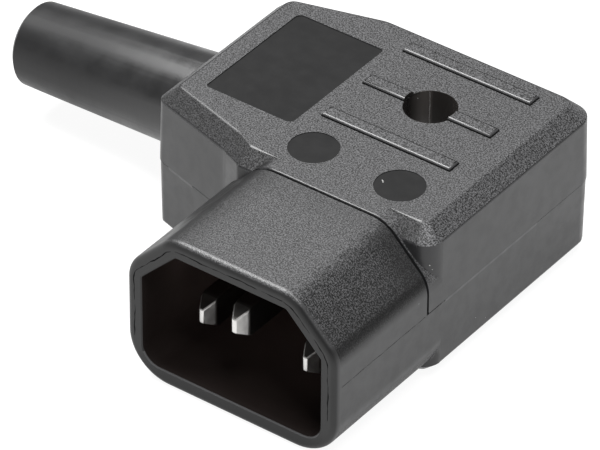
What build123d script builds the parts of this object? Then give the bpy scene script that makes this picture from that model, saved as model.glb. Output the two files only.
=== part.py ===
from build123d import *
import math
import os

# Angled mains connector with three flat pins, taken apart by one screw, cord to one side.
# Millimetres. X runs along the mating face, away from the cord. Y runs from the rim back into the body.
# Z is up. The origin is the middle of the rim, and Z = 0 is the seam between the two shells.

# Mating end, to the standard pattern of three flat pins in a hexagonal opening
opening_width = 24.0
opening_height = 16.0
opening_bevel = 4.6
opening_bottom_radius = 2.3
opening_top_radius = 0.5
recess_depth = 17.0
pin_spacing = 14.0
earth_offset = 4.0
pin_thickness = 2.0
pin_height = 4.0
live_pin_z = -2.1
live_pin_tip = 4.0
earth_pin_tip = 0.65
point_length = 2.0
point_side_length = 1.4
point_thickness = 0.5
point_height = 1.8

# Shroud round the opening
shroud_wall = 2.1
shroud_length = 16.55
shroud_top_radius = 4.0
shroud_bottom_radius = 5.5
rim_rounding = 0.85
opening_edge = 0.15

# Body in plan: square on the right, drawn in towards the cord by a slant in front and behind
body_front = 17.0
body_back = 49.1
body_left = -26.7
left_front_setback = 4.75
left_back_setback = 3.6
slant_end_setback = 1.4
slant_end_gap = 0.7
front_step = 2.1
back_step = 0.3

# Body in section
edge_chamfer = 1.85
draft_inset = 0.14
shell_wall = 2.2
roof = 2.2
seam_gap = 0.12
base_overhang = 0.06
hood_gap = 0.35
neck_inset = 1.05
neck_clearance = 0.1

# Lap joint between the shells
tongue_inset = 1.3
tongue_depth = 1.2
tongue_clearance = 0.1
tongue_end_gap = 3.0

# Marks on the cover
rib_length = 17.3
rib_width = 1.85
rib_height = 0.4
rib_back_margin = 4.8
rib_edge = 0.32
plate_length = 11.83
plate_left_margin = 4.42
plate_front_margin = 3.23
plate_back_margin = 3.12
plate_depth = 0.1
plate_radius = 0.8
plate_small_radius = 0.45
disc_radius = 2.9
disc_spacing = 11.6
disc_setback = 5.85
disc_depth = 0.08

# Screw that holds the shells together
screw_gap = 3.24
well_radius = 3.07
well_wall = 1.5
well_floor = 2.0
well_foot = 0.3
screw_shank_radius = 1.45
screw_head_radius = 2.7
screw_head_height = 1.9
screw_reach = 6.0
screw_hole_gap = 0.25
screw_clearance = 0.05
screw_point_room = 0.5
slot_width = 0.7
slot_depth = 0.9

# Terminals behind the pins
block_width = 5.0
block_height = 7.0
block_length = 9.5
wire_hole_radius = 1.4
wire_hole_depth = 7.0
terminal_screw_setback = 4.95
terminal_shank_radius = 1.2
terminal_head_radius = 2.0
terminal_head_height = 1.5
terminal_reach = 3.0
seat_margin = 0.5
partition_wall = 1.2
partition_top = 1.5
post_length = 2.0
post_width = 3.0
post_setback = 0.1
slot_clearance = 0.05

# Cord sleeve and the clamp behind it
sleeve_droop = 4.7
sleeve_bore_radius = 3.6
sleeve_root_radius = 6.0
sleeve_end_radius = 5.05
sleeve_length = 25.4
sleeve_wall_gap = 0.06
sleeve_edge = 0.5
bore_overlap = 0.35
neck_bore_gap = 0.3
neck_radius = 5.6
flange_radius = 7.2
flange_thickness = 1.4
sleeve_clearance = 0.1
groove_rib = 1.25
groove_rib_width = 18.0
groove_rib_bore = 4.4
clamp_gap = 1.5
clamp_width = 5.0
clamp_end_radius = 2.4
clamp_wall_gap = 1.875
clamp_end_margin = 2.5
clamp_foot = 1.0
clamp_thickness = 3.6
clamp_arch_radius = 3.0
clamp_boss_radius = 3.0
clamp_screw_reach = 5.0
clamp_head_radius = 2.4
clamp_head_height = 1.7
saddle_width = 2.0
saddle_length = 7.0
saddle_top = -3.1

# Sizes that follow from the ones above
half_body = opening_height / 2 + shroud_wall
body_right = opening_width / 2 + shroud_wall
shroud_bevel = opening_bevel + shroud_wall * (2 - math.sqrt(2))
shoulder = half_body - edge_chamfer
wall_inset = shell_wall + draft_inset
cavity_rise = half_body - roof
recess_back = body_front + wall_inset
hood_front = shroud_length + hood_gap
earth_pin_z = live_pin_z + earth_offset
live_pin_x = pin_spacing / 2
left_wall_inside = body_left + wall_inset
groove_start = left_wall_inside + flange_thickness + sleeve_clearance
groove_end = groove_start + groove_rib
cover_roof_z = cavity_rise
base_floor_z = -cavity_rise
left_front_y = body_front + left_front_setback
left_back_y = body_back - left_back_setback
sleeve_y = (left_front_y + left_back_y) / 2
clamp_x = groove_end + clamp_gap + clamp_width / 2
clamp_length = left_back_y - left_front_y - 2 * clamp_wall_gap
clamp_screw_spacing = clamp_length - 2 * clamp_end_margin
clamp_screw_length = clamp_thickness + clamp_screw_reach
block_middle = recess_back + block_length / 2
block_end = recess_back + block_length
terminal_screw_y = recess_back + terminal_screw_setback
post_y = block_end - post_setback - post_length / 2
screw_y = block_end + screw_gap + well_radius + well_wall
rib_pitch = body_back - rib_back_margin - screw_y
disc_y = body_front + disc_setback
plate_front = left_front_y + plate_front_margin
plate_back = left_back_y - plate_back_margin
plate_middle = (body_left + plate_left_margin + plate_length / 2, (plate_front + plate_back) / 2)

droop = math.radians(sleeve_droop)
sleeve_start = sleeve_root_radius * math.sin(droop) + sleeve_wall_gap

body_corners = [
    (body_right, body_front),
    (body_right, body_back),
    (back_step - body_right, body_back),
    (body_left, left_back_y),
    (body_left, left_front_y),
    (-body_right - slant_end_gap, body_front + slant_end_setback),
    (front_step - body_right, body_front),
]
seam_radii = [2.4, 2.9, 5.0, 2.2, 1.4, 3.0, 1.0]
top_radii = [1.0, 1.8, 4.0, 1.2, 0.6, 5.0, 0.6]
cavity_radii = [0.8, 2.0, 3.0, 1.0, 0.8, 5.0, 0.5]


def front_plane(distance):
    """Plane across the shroud, the given distance behind the rim."""
    return Plane.XZ.offset(-distance)


def moved_in(corners, inset):
    """Corners of a closed outline once every side has moved inwards by the inset."""
    moved = []
    count = len(corners)
    for index in range(count):
        before = Vector(*corners[index - 1])
        here = Vector(*corners[index])
        after = Vector(*corners[(index + 1) % count])
        into = (here - before).normalized()
        out_of = (after - here).normalized()
        normal_into = Vector(-into.Y, into.X)
        normal_out = Vector(-out_of.Y, out_of.X)
        moved.append(here + (normal_into + normal_out) * (inset / (1 + normal_into.dot(normal_out))))
    return moved


def body_outline(inset, radii):
    """Plan of the body with its sides moved inwards and its corners rounded."""
    corners = moved_in(body_corners, inset)
    with BuildSketch() as outline:
        with BuildLine():
            Polyline(*corners, close=True)
        make_face()
        for corner, radius in zip(corners, radii):
            fillet(outline.vertices().sort_by_distance(corner)[0], radius)
    return outline.sketch


def mating_outline(inset, top_radius, bottom_radius):
    """Outline of the shroud, bevelled above and rounded below, with its sides moved inwards."""
    half_width = body_right - inset
    half_height = half_body - inset
    bevel = shroud_bevel - inset * (2 - math.sqrt(2))
    with BuildSketch() as outline:
        with BuildLine():
            Polyline(
                (-half_width, -half_height),
                (half_width, -half_height),
                (half_width, half_height - bevel),
                (half_width - bevel, half_height),
                (bevel - half_width, half_height),
                (-half_width, half_height - bevel),
                close=True,
            )
        make_face()
        upper_corners = outline.vertices().group_by(Axis.Y)[-2:]
        fillet(upper_corners[0] + upper_corners[1], top_radius)
        fillet(outline.vertices().group_by(Axis.Y)[0], bottom_radius)
    return outline.sketch


def outer_outline():
    """Outline of the shroud's outside."""
    return mating_outline(0, shroud_top_radius, shroud_bottom_radius)


def half_block(side, seam_inset):
    """Solid half of the body, from the seam to its outer face, above (1) or below (-1)."""
    with BuildPart() as block:
        with BuildSketch(Plane.XY):
            add(body_outline(seam_inset, seam_radii))
        with BuildSketch(Plane.XY.offset(side * shoulder)):
            add(body_outline(draft_inset, seam_radii))
        loft(ruled=True)
        with BuildSketch(Plane.XY.offset(side * shoulder)):
            add(body_outline(draft_inset, seam_radii))
        with BuildSketch(Plane.XY.offset(side * half_body)):
            add(body_outline(draft_inset + edge_chamfer, top_radii))
        loft(ruled=True)
    return block.part


def lap_ring(outer_inset, end_gap):
    """Plan of the lap joint, open at the neck and at the cord sleeve."""
    with BuildSketch() as ring:
        add(body_outline(outer_inset, cavity_radii))
        add(body_outline(wall_inset, cavity_radii), mode=Mode.SUBTRACT)
        with Locations((0, body_front)):
            Rectangle(
                2 * (body_right + tongue_end_gap - end_gap),
                2 * (wall_inset + tongue_end_gap - end_gap),
                mode=Mode.SUBTRACT,
            )
        with Locations((body_left, sleeve_y)):
            Rectangle(
                2 * (groove_end - body_left + tongue_end_gap - end_gap),
                groove_rib_width + 2 * (tongue_end_gap - end_gap),
                mode=Mode.SUBTRACT,
            )
    return ring.sketch


def slotted_screw(head_radius, head_height, shank_radius, reach):
    """Screw whose head stands on Z = 0, with a slot across the head."""
    with BuildPart() as screw:
        with BuildSketch():
            Circle(head_radius)
        extrude(amount=head_height)
        with BuildSketch():
            Circle(shank_radius)
        extrude(amount=-reach)
        with BuildSketch(Plane.XY.offset(head_height)):
            Rectangle(2 * head_radius + slot_width, slot_width)
        extrude(amount=-slot_depth, mode=Mode.SUBTRACT)
    return screw.part


def flat_pin(x, z, tip):
    """Flat pin with a four-sided point and the terminal block behind it."""
    with BuildPart() as pin:
        with BuildSketch(front_plane(tip)):
            with Locations((x, z)):
                Rectangle(pin_thickness, pin_height)
        extrude(amount=-(recess_back - tip))
        narrow_cut = (pin_thickness - point_thickness) / 2
        end = pin.faces().sort_by(Axis.Y)[0]
        chamfer(end.edges().filter_by(Axis.Z), narrow_cut, point_side_length, reference=end)
        low_cut = (pin_height - point_height) / 2
        end = pin.faces().sort_by(Axis.Y)[0]
        chamfer(end.edges().filter_by(Axis.X), low_cut, point_length, reference=end)
        with BuildSketch(front_plane(recess_back)):
            with Locations((x, z)):
                Rectangle(block_width, block_height)
        extrude(amount=-block_length)
        with BuildSketch(front_plane(block_end)):
            with Locations((x, z)):
                Circle(wire_hole_radius)
        extrude(amount=wire_hole_depth, mode=Mode.SUBTRACT)
        with BuildSketch(Plane.XY.offset(z)):
            with Locations((x, terminal_screw_y)):
                Circle(terminal_shank_radius + screw_clearance)
        extrude(amount=block_height, mode=Mode.SUBTRACT)
    return pin.part


# Cover: upper shell with the hood over the shroud's root
with BuildPart() as cover:
    add(half_block(1, 0))
    with BuildSketch(front_plane(hood_front)):
        add(outer_outline())
    extrude(amount=-(recess_back - hood_front))
    split(bisect_by=Plane.XY.offset(seam_gap), keep=Keep.TOP)
    with BuildSketch(Plane.XY):
        add(body_outline(wall_inset, cavity_radii))
    extrude(amount=cover_roof_z, mode=Mode.SUBTRACT)
    with BuildSketch(front_plane(0)):
        add(mating_outline(neck_inset - neck_clearance, shroud_top_radius, shroud_bottom_radius))
    extrude(amount=-(recess_back + neck_clearance), mode=Mode.SUBTRACT)
    # Tongue that drops inside the base's wall
    with BuildSketch(Plane.XY.offset(-tongue_depth)):
        add(lap_ring(tongue_inset, 0))
    extrude(amount=tongue_depth + seam_gap)
    # Half of the groove that holds the sleeve's flange
    with BuildSketch(Plane.XY.offset(seam_gap)):
        with Locations((groove_start + groove_rib / 2, sleeve_y)):
            Rectangle(groove_rib, groove_rib_width)
    extrude(amount=cover_roof_z - seam_gap)
    with BuildSketch(Plane.YZ.offset(left_wall_inside)):
        with Locations((sleeve_y, 0)):
            Circle(groove_rib_bore)
    extrude(amount=groove_end - left_wall_inside, mode=Mode.SUBTRACT)
    with BuildSketch(Plane.YZ.offset(body_left)):
        with Locations((sleeve_y, 0)):
            Circle(neck_radius + sleeve_clearance)
    extrude(amount=wall_inset, mode=Mode.SUBTRACT)
    # Posts that hold the terminal blocks down
    with BuildSketch(Plane.XY.offset(live_pin_z + block_height / 2)):
        with Locations((-live_pin_x, post_y), (live_pin_x, post_y)):
            Rectangle(post_width, post_length)
    extrude(amount=cover_roof_z - live_pin_z - block_height / 2)
    with BuildSketch(Plane.XY.offset(earth_pin_z + block_height / 2)):
        with Locations((0, post_y)):
            Rectangle(post_width, post_length)
    extrude(amount=cover_roof_z - earth_pin_z - block_height / 2)
    # Ribs, then the screw well through the middle one
    with BuildSketch(Plane.XY.offset(half_body)):
        with Locations((0, screw_y)):
            with GridLocations(0, rib_pitch, 1, 3):
                Rectangle(rib_length, rib_width)
    extrude(amount=rib_height)
    fillet(cover.faces().sort_by(Axis.Z)[-3:].edges(), rib_edge)
    with BuildSketch(Plane.XY.offset(well_foot)):
        with Locations((0, screw_y)):
            Circle(well_radius + well_wall)
    extrude(amount=cover_roof_z - well_foot)
    with Locations((0, screw_y, half_body + rib_height)):
        CounterBoreHole(
            radius=screw_shank_radius + screw_hole_gap,
            counter_bore_radius=well_radius,
            counter_bore_depth=half_body + rib_height - well_foot - well_floor,
            depth=half_body + rib_height - well_foot,
        )
    # Bare marking plate and the two smooth discs
    with BuildSketch(Plane.XY.offset(half_body)) as plate:
        with Locations(plate_middle):
            Rectangle(plate_length, plate_back - plate_front)
        corners = plate.vertices().sort_by(Axis.Y)
        front_pair = corners[:2].sort_by(Axis.X)
        back_pair = corners[2:].sort_by(Axis.X)
        fillet([front_pair[1], back_pair[0]], plate_radius)
        fillet(plate.vertices().sort_by_distance(front_pair[0])[0], plate_small_radius)
        fillet(plate.vertices().sort_by_distance(back_pair[1])[0], plate_small_radius)
    extrude(amount=-plate_depth, mode=Mode.SUBTRACT)
    with BuildSketch(Plane.XY.offset(half_body)):
        with Locations((0, disc_y)):
            with GridLocations(disc_spacing, 0, 2, 1):
                Circle(disc_radius)
    extrude(amount=-disc_depth, mode=Mode.SUBTRACT)

# Base: lower shell in one piece with the shroud
with BuildPart() as base:
    add(half_block(-1, base_overhang))
    with BuildSketch(front_plane(shroud_length / 2)):
        add(outer_outline())
    extrude(amount=-(recess_back - shroud_length / 2))
    split(bisect_by=Plane.XY, keep=Keep.BOTTOM)
    with BuildSketch(Plane.XY):
        add(body_outline(wall_inset, cavity_radii))
    extrude(amount=base_floor_z, mode=Mode.SUBTRACT)
    with BuildSketch(Plane.XY):
        add(lap_ring(tongue_inset - tongue_clearance, tongue_clearance))
    extrude(amount=-tongue_depth, mode=Mode.SUBTRACT)
    # Shroud, its neck under the hood and the recess
    with BuildSketch(front_plane(0)):
        add(outer_outline())
    extrude(amount=-shroud_length)
    with BuildSketch(front_plane(shroud_length / 2)):
        add(mating_outline(neck_inset, shroud_top_radius, shroud_bottom_radius))
    extrude(amount=-(recess_back - shroud_length / 2))
    with BuildSketch(front_plane(0)):
        add(mating_outline(shroud_wall, opening_top_radius, opening_bottom_radius))
    extrude(amount=-recess_depth, mode=Mode.SUBTRACT)
    rim = base.faces().sort_by(Axis.Y)[0]
    fillet(rim.outer_wire().edges(), rim_rounding)
    rim = base.faces().sort_by(Axis.Y)[0]
    chamfer(rim.inner_wires()[0].edges(), opening_edge)
    # Slots for the pins
    with BuildSketch(front_plane(0)):
        with Locations((-live_pin_x, live_pin_z), (live_pin_x, live_pin_z), (0, earth_pin_z)):
            Rectangle(pin_thickness + 2 * slot_clearance, pin_height + 2 * slot_clearance)
    extrude(amount=-recess_back, mode=Mode.SUBTRACT)
    # Seats under the terminal blocks and the walls between them
    with BuildSketch(Plane.XY.offset(base_floor_z)):
        with Locations((-live_pin_x, block_middle), (live_pin_x, block_middle)):
            Rectangle(block_width - 2 * seat_margin, block_length)
    extrude(amount=live_pin_z - block_height / 2 - base_floor_z)
    with BuildSketch(Plane.XY.offset(base_floor_z)):
        with Locations((0, block_middle)):
            Rectangle(block_width - 2 * seat_margin, block_length)
    extrude(amount=earth_pin_z - block_height / 2 - base_floor_z)
    with BuildSketch(Plane.XY.offset(base_floor_z)):
        with Locations((0, block_middle)):
            with GridLocations(live_pin_x, 0, 2, 1):
                Rectangle(partition_wall, block_length)
    extrude(amount=partition_top - base_floor_z)
    # Boss for the housing screw
    with BuildSketch(Plane.XY.offset(base_floor_z)):
        with Locations((0, screw_y)):
            Circle(well_radius + well_wall)
    extrude(amount=well_foot - base_floor_z)
    with BuildSketch(Plane.XY.offset(well_foot)):
        with Locations((0, screw_y)):
            Circle(screw_shank_radius + screw_clearance)
    extrude(amount=-(screw_reach + screw_point_room), mode=Mode.SUBTRACT)
    # Cord clamp bosses and the saddle under the cord
    with BuildSketch(Plane.XY.offset(base_floor_z)):
        with Locations((clamp_x, sleeve_y)):
            with GridLocations(0, clamp_screw_spacing, 1, 2):
                Circle(clamp_boss_radius)
    extrude(amount=clamp_foot - base_floor_z)
    with BuildSketch(Plane.XY.offset(clamp_foot)):
        with Locations((clamp_x, sleeve_y)):
            with GridLocations(0, clamp_screw_spacing, 1, 2):
                Circle(screw_shank_radius + screw_clearance)
    extrude(amount=-(clamp_screw_reach + screw_point_room), mode=Mode.SUBTRACT)
    with BuildSketch(Plane.XY.offset(base_floor_z)):
        with Locations((clamp_x, sleeve_y)):
            Rectangle(saddle_width, saddle_length)
    extrude(amount=saddle_top - base_floor_z)
    # Other half of the groove that holds the sleeve's flange
    with BuildSketch(Plane.XY.offset(base_floor_z)):
        with Locations((groove_start + groove_rib / 2, sleeve_y)):
            Rectangle(groove_rib, groove_rib_width)
    extrude(amount=-base_floor_z)
    with BuildSketch(Plane.YZ.offset(left_wall_inside)):
        with Locations((sleeve_y, 0)):
            Circle(groove_rib_bore)
    extrude(amount=groove_end - left_wall_inside, mode=Mode.SUBTRACT)
    with BuildSketch(Plane.YZ.offset(body_left)):
        with Locations((sleeve_y, 0)):
            Circle(neck_radius + sleeve_clearance)
    extrude(amount=wall_inset, mode=Mode.SUBTRACT)

# Cord sleeve: flange and neck square to the wall, tapered part drooping a little
root = Vector(body_left - sleeve_start, sleeve_y, 0)
outwards = Vector(-math.cos(droop), 0, -math.sin(droop))
root_plane = Plane(origin=root, x_dir=(0, -1, 0), z_dir=outwards)
with BuildPart() as sleeve:
    with BuildSketch(root_plane):
        Circle(sleeve_root_radius)
    with BuildSketch(root_plane.offset(sleeve_length)):
        Circle(sleeve_end_radius)
    loft()
    chamfer(sleeve.edges().filter_by(GeomType.CIRCLE).sort_by(Axis.X)[0], sleeve_edge)
    with BuildSketch(Plane.YZ.offset(root.X - sleeve_start)):
        with Locations((sleeve_y, 0)):
            Circle(neck_radius)
    extrude(amount=left_wall_inside - root.X + sleeve_start)
    with BuildSketch(Plane.YZ.offset(left_wall_inside)):
        with Locations((sleeve_y, 0)):
            Circle(flange_radius)
    extrude(amount=flange_thickness)
    with BuildSketch(root_plane):
        Circle(sleeve_bore_radius)
    extrude(amount=sleeve_length, mode=Mode.SUBTRACT)
    with BuildSketch(Plane.YZ.offset(root.X - bore_overlap)):
        with Locations((sleeve_y, 0)):
            Circle(sleeve_bore_radius + neck_bore_gap)
    extrude(amount=left_wall_inside + flange_thickness - root.X + bore_overlap, mode=Mode.SUBTRACT)

# Pins with their terminal blocks
with BuildPart() as line_pin:
    add(flat_pin(-live_pin_x, live_pin_z, live_pin_tip))
with BuildPart() as neutral_pin:
    add(flat_pin(live_pin_x, live_pin_z, live_pin_tip))
with BuildPart() as earth_pin:
    add(flat_pin(0, earth_pin_z, earth_pin_tip))

# Screws
terminal_tops = [
    (-live_pin_x, terminal_screw_y, live_pin_z + block_height / 2),
    (live_pin_x, terminal_screw_y, live_pin_z + block_height / 2),
    (0, terminal_screw_y, earth_pin_z + block_height / 2),
]
with BuildPart() as terminal_screws:
    with Locations(*terminal_tops):
        add(slotted_screw(terminal_head_radius, terminal_head_height, terminal_shank_radius, terminal_reach))
with BuildPart() as housing_screw:
    with Locations((0, screw_y, well_foot + well_floor)):
        add(slotted_screw(screw_head_radius, screw_head_height, screw_shank_radius, well_floor + screw_reach))
with BuildPart() as clamp_screws:
    with Locations((clamp_x, sleeve_y, clamp_foot + clamp_thickness)):
        with GridLocations(0, clamp_screw_spacing, 1, 2):
            add(slotted_screw(clamp_head_radius, clamp_head_height, screw_shank_radius, clamp_screw_length))

# Bar that clamps the cord on its saddle
with BuildPart() as clamp:
    with BuildSketch(Plane.XY.offset(clamp_foot)):
        with Locations((clamp_x, sleeve_y)):
            RectangleRounded(clamp_width, clamp_length, clamp_end_radius)
    extrude(amount=clamp_thickness)
    with BuildSketch(Plane.YZ.offset(clamp_x - clamp_width / 2)):
        with Locations((sleeve_y, 0)):
            Circle(clamp_arch_radius)
    extrude(amount=clamp_width, mode=Mode.SUBTRACT)
    with Locations((clamp_x, sleeve_y, clamp_foot + clamp_thickness)):
        with GridLocations(0, clamp_screw_spacing, 1, 2):
            Hole(screw_shank_radius + screw_clearance, depth=clamp_thickness)

os.makedirs("parts", exist_ok=True)
base.part.label = "base_shell"
export_step(base.part, "parts/base_shell.step")
cover.part.label = "cover_shell"
export_step(cover.part, "parts/cover_shell.step")
sleeve.part.label = "cord_sleeve"
export_step(sleeve.part, "parts/cord_sleeve.step")
line_pin.part.label = "line_pin"
export_step(line_pin.part, "parts/line_pin.step")
neutral_pin.part.label = "neutral_pin"
export_step(neutral_pin.part, "parts/neutral_pin.step")
earth_pin.part.label = "earth_pin"
export_step(earth_pin.part, "parts/earth_pin.step")
terminal_screws.part.label = "terminal_screws"
export_step(terminal_screws.part, "parts/terminal_screws.step")
housing_screw.part.label = "housing_screw"
export_step(housing_screw.part, "parts/housing_screw.step")
clamp.part.label = "cord_clamp"
export_step(clamp.part, "parts/cord_clamp.step")
clamp_screws.part.label = "cord_clamp_screws"
export_step(clamp_screws.part, "parts/cord_clamp_screws.step")
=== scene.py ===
"""Finishes, mould marks and studio for an angled mains connector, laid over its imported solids."""
import math
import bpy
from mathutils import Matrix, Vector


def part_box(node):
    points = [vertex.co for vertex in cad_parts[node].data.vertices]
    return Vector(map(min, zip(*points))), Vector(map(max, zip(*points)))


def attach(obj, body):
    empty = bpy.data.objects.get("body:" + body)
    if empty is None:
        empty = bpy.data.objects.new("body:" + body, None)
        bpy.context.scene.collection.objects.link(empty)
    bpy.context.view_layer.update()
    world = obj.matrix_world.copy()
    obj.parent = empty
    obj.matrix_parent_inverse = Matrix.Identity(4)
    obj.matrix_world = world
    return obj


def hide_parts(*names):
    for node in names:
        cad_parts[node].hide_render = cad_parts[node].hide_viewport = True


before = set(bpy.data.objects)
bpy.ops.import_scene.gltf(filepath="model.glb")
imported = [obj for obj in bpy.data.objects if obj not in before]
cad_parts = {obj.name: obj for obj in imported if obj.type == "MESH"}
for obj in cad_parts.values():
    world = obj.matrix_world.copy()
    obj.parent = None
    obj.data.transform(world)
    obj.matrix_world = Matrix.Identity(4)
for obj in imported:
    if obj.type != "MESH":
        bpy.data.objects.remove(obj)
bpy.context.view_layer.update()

from types import SimpleNamespace

import bmesh
import bpy
from mathutils import Matrix, Vector
from mathutils.bvhtree import BVHTree

bl_info = {
    "name": "Angled connector finishes",
    "version": (1, 0, 0),
    "blender": (4, 5, 0),
    "location": "View3D > Sidebar > Connector",
    "description": "Moulded plastic, nickel and rubber finishes with mould marks for an angled connector",
    "category": "Object",
}

MM = 0.001

# Places read from the solids
BASE_LOW, BASE_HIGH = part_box("base_shell")
HALF_BODY = -BASE_LOW.z
BODY_RIGHT = BASE_HIGH.x
WELL_MIDDLE = sum(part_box("housing_screw"), Vector()) / 2

# Sizes of the mating end and of the screw's well, as in the solids
SHROUD_WALL = 2.1 * MM
SHROUD_BEVEL = 5.83 * MM
SHROUD_LENGTH = 16.55 * MM
RIM_ROUNDING = 0.85 * MM
WELL_RADIUS = 3.07 * MM

# Box round the mating opening, a little wider, higher and deeper than the opening itself
OPENING_MARGIN = 0.2 * MM
OPENING_HALF_WIDTH = BODY_RIGHT - SHROUD_WALL + OPENING_MARGIN
OPENING_HALF_HEIGHT = HALF_BODY - SHROUD_WALL + OPENING_MARGIN
OPENING_BACK = 18.0 * MM

# Heights between which the rim is painted darker towards the bottom, as shade
LOW_RIM = -9.0 * MM
LOW_RIM_END = -6.0 * MM

# Least step in height that counts as one
HAIR = 0.01 * MM

# Way across the well, square to the mould line inside it
WELL_TURN = math.radians(36.4)

# Hood's front, and its end on the right side
HOOD_FRONT = 16.9 * MM
HOOD_END = 19.34 * MM

# Plan directions of the slanted side and of the hood, and the corners of the small box where they meet
SLANT_RUN = Vector((0.9625, -0.2712))
HOOD_RUN = Vector((0.8944, -0.4472))
BLEND_LOW = Vector((-15.1, 18.2)) * MM
BLEND_HIGH = Vector((-14.4, 18.7)) * MM

# How far the blend there reaches along the slanted side, and along the hood above and below its foot
BLEND_ON_SLANT = 0.8 * MM
BLEND_ON_HOOD = 1.25 * MM
BLEND_UNDER_HOOD = 0.42 * MM
HOOD_FOOT = 4.0 * MM

# Ends of the range over which the sleeve's gloss changes, and length of its soft end
SLEEVE_OUTER = -46.0 * MM
SLEEVE_INNER = -30.0 * MM
SOFT_END = 3.0 * MM

# Length of the pins' points, and how far behind the tips the pins are painted dark as shade
POINT_LENGTH = 2.05 * MM
PIN_SHADE_START = 1.3 * MM
PIN_SHADE_END = 1.9 * MM

# Least angle of an edge that is rounded, on the shells and on the pins, and of one that is shaded as sharp
SHELL_EDGE = math.radians(20.0)
PIN_EDGE = math.radians(15.0)
SHARP_EDGE = math.radians(30.0)

# Spacing of the sections of the mould marks, in millimetres
MARK_STEP = 0.2

# Heights where the flash over the seam ends, how deep its sides are sunk and how far it stands out
FLASH_LOW = -0.35 * MM
FLASH_HIGH = 0.50 * MM
FLASH_SINK = 0.006 * MM
FLASH_RISE = 0.014 * MM

# Plastic in deep shade
SHADE = (0.006, 0.006, 0.006)

# Point that the softboxes face, where each stands from there, and the sides of the softboxes
STUDIO_MIDDLE = Vector((-6.0, 24.0, 0.0)) * MM
OVERHEAD_STAND = Vector((-0.40, 0.05, 0.90)) * 0.42
OVERHEAD_SIDE = 0.24
FRONT_STAND = Vector((0.38, -0.22, 0.90)) * 0.75
FRONT_SIDE = 0.22

# Gap that keeps the floor clear of the bottom, and half the floor's width
FLOOR_GAP = 0.03 * MM
FLOOR_REACH = 1.6


class ShellFinishSettings(bpy.types.PropertyGroup):
    """Looks of the moulded shells."""

    side_colour: bpy.props.FloatVectorProperty(
        name="Side colour", description="Colour of the smooth sides",
        subtype="COLOR", size=3, min=0.0, max=1.0, default=(0.030, 0.030, 0.0312),
    )
    # Grain colour is also laid on the ribs' edges and the lower lip as a painted highlight, and partly as one
    # on the rim's crown
    grain_colour: bpy.props.FloatVectorProperty(
        name="Grain colour", description="Colour of the spark-eroded faces and of the ribs' edges",
        subtype="COLOR", size=3, min=0.0, max=1.0, default=(0.059, 0.059, 0.0607),
    )
    # Lighter than the shells' plastic: painted light inside the well
    well_painted_light_colour: bpy.props.FloatVectorProperty(
        name="Well colour", description="Colour inside the well of the housing screw",
        subtype="COLOR", size=3, min=0.0, max=1.0, default=(0.080, 0.073, 0.068),
    )
    # On the rim's front it is painted darker towards the bottom as shade, and on the left bevel it is painted
    # shade
    polished_colour: bpy.props.FloatVectorProperty(
        name="Polished colour", description="Colour of the plate, discs, rim's front and left bevel",
        subtype="COLOR", size=3, min=0.0, max=1.0, default=(0.0185, 0.0185, 0.0187),
    )
    recess_colour: bpy.props.FloatVectorProperty(
        name="Recess colour", description="Colour inside the mating opening",
        subtype="COLOR", size=3, min=0.0, max=1.0, default=(0.031, 0.023, 0.021),
    )
    grain_size: bpy.props.FloatProperty(
        name="Grain size", description="Spacing of the spark-eroded grain",
        subtype="DISTANCE", unit="LENGTH", default=0.16 * MM, precision=6,
    )
    grain_depth: bpy.props.FloatProperty(
        name="Grain depth", description="Depth of the spark-eroded grain",
        subtype="DISTANCE", unit="LENGTH", default=0.062 * MM, precision=6,
    )
    side_roughness: bpy.props.FloatProperty(
        name="Side roughness", description="Roughness of the smooth sides",
        subtype="FACTOR", min=0.0, max=1.0, default=0.36,
    )
    edge_roughness: bpy.props.FloatProperty(
        name="Edge roughness", description="Roughness of the rounded edges, the ribs' edges and the rim",
        subtype="FACTOR", min=0.0, max=1.0, default=0.27,
    )
    edge_softness: bpy.props.FloatProperty(
        name="Edge softness", description="Width of the rounding on the outer edges",
        subtype="DISTANCE", unit="LENGTH", default=0.18 * MM, precision=6,
    )
    grain_roughness: bpy.props.FloatProperty(
        name="Grain roughness", description="Roughness of the spark-eroded faces",
        subtype="FACTOR", min=0.0, max=1.0, default=0.52,
    )


class SleeveFinishSettings(bpy.types.PropertyGroup):
    """Looks of the rubber cord sleeve."""

    colour: bpy.props.FloatVectorProperty(
        name="Rubber colour", description="Colour of the cord sleeve",
        subtype="COLOR", size=3, min=0.0, max=1.0, default=(0.0185, 0.0185, 0.019),
    )
    roughness: bpy.props.FloatProperty(
        name="Rubber roughness", description="Roughness of the cord sleeve",
        subtype="FACTOR", min=0.0, max=1.0, default=0.42,
    )
    reach: bpy.props.FloatProperty(
        name="Sleeve reach", description="How far the soft end of the sleeve is drawn out",
        subtype="DISTANCE", unit="LENGTH", default=0.75 * MM, precision=6,
    )


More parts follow.
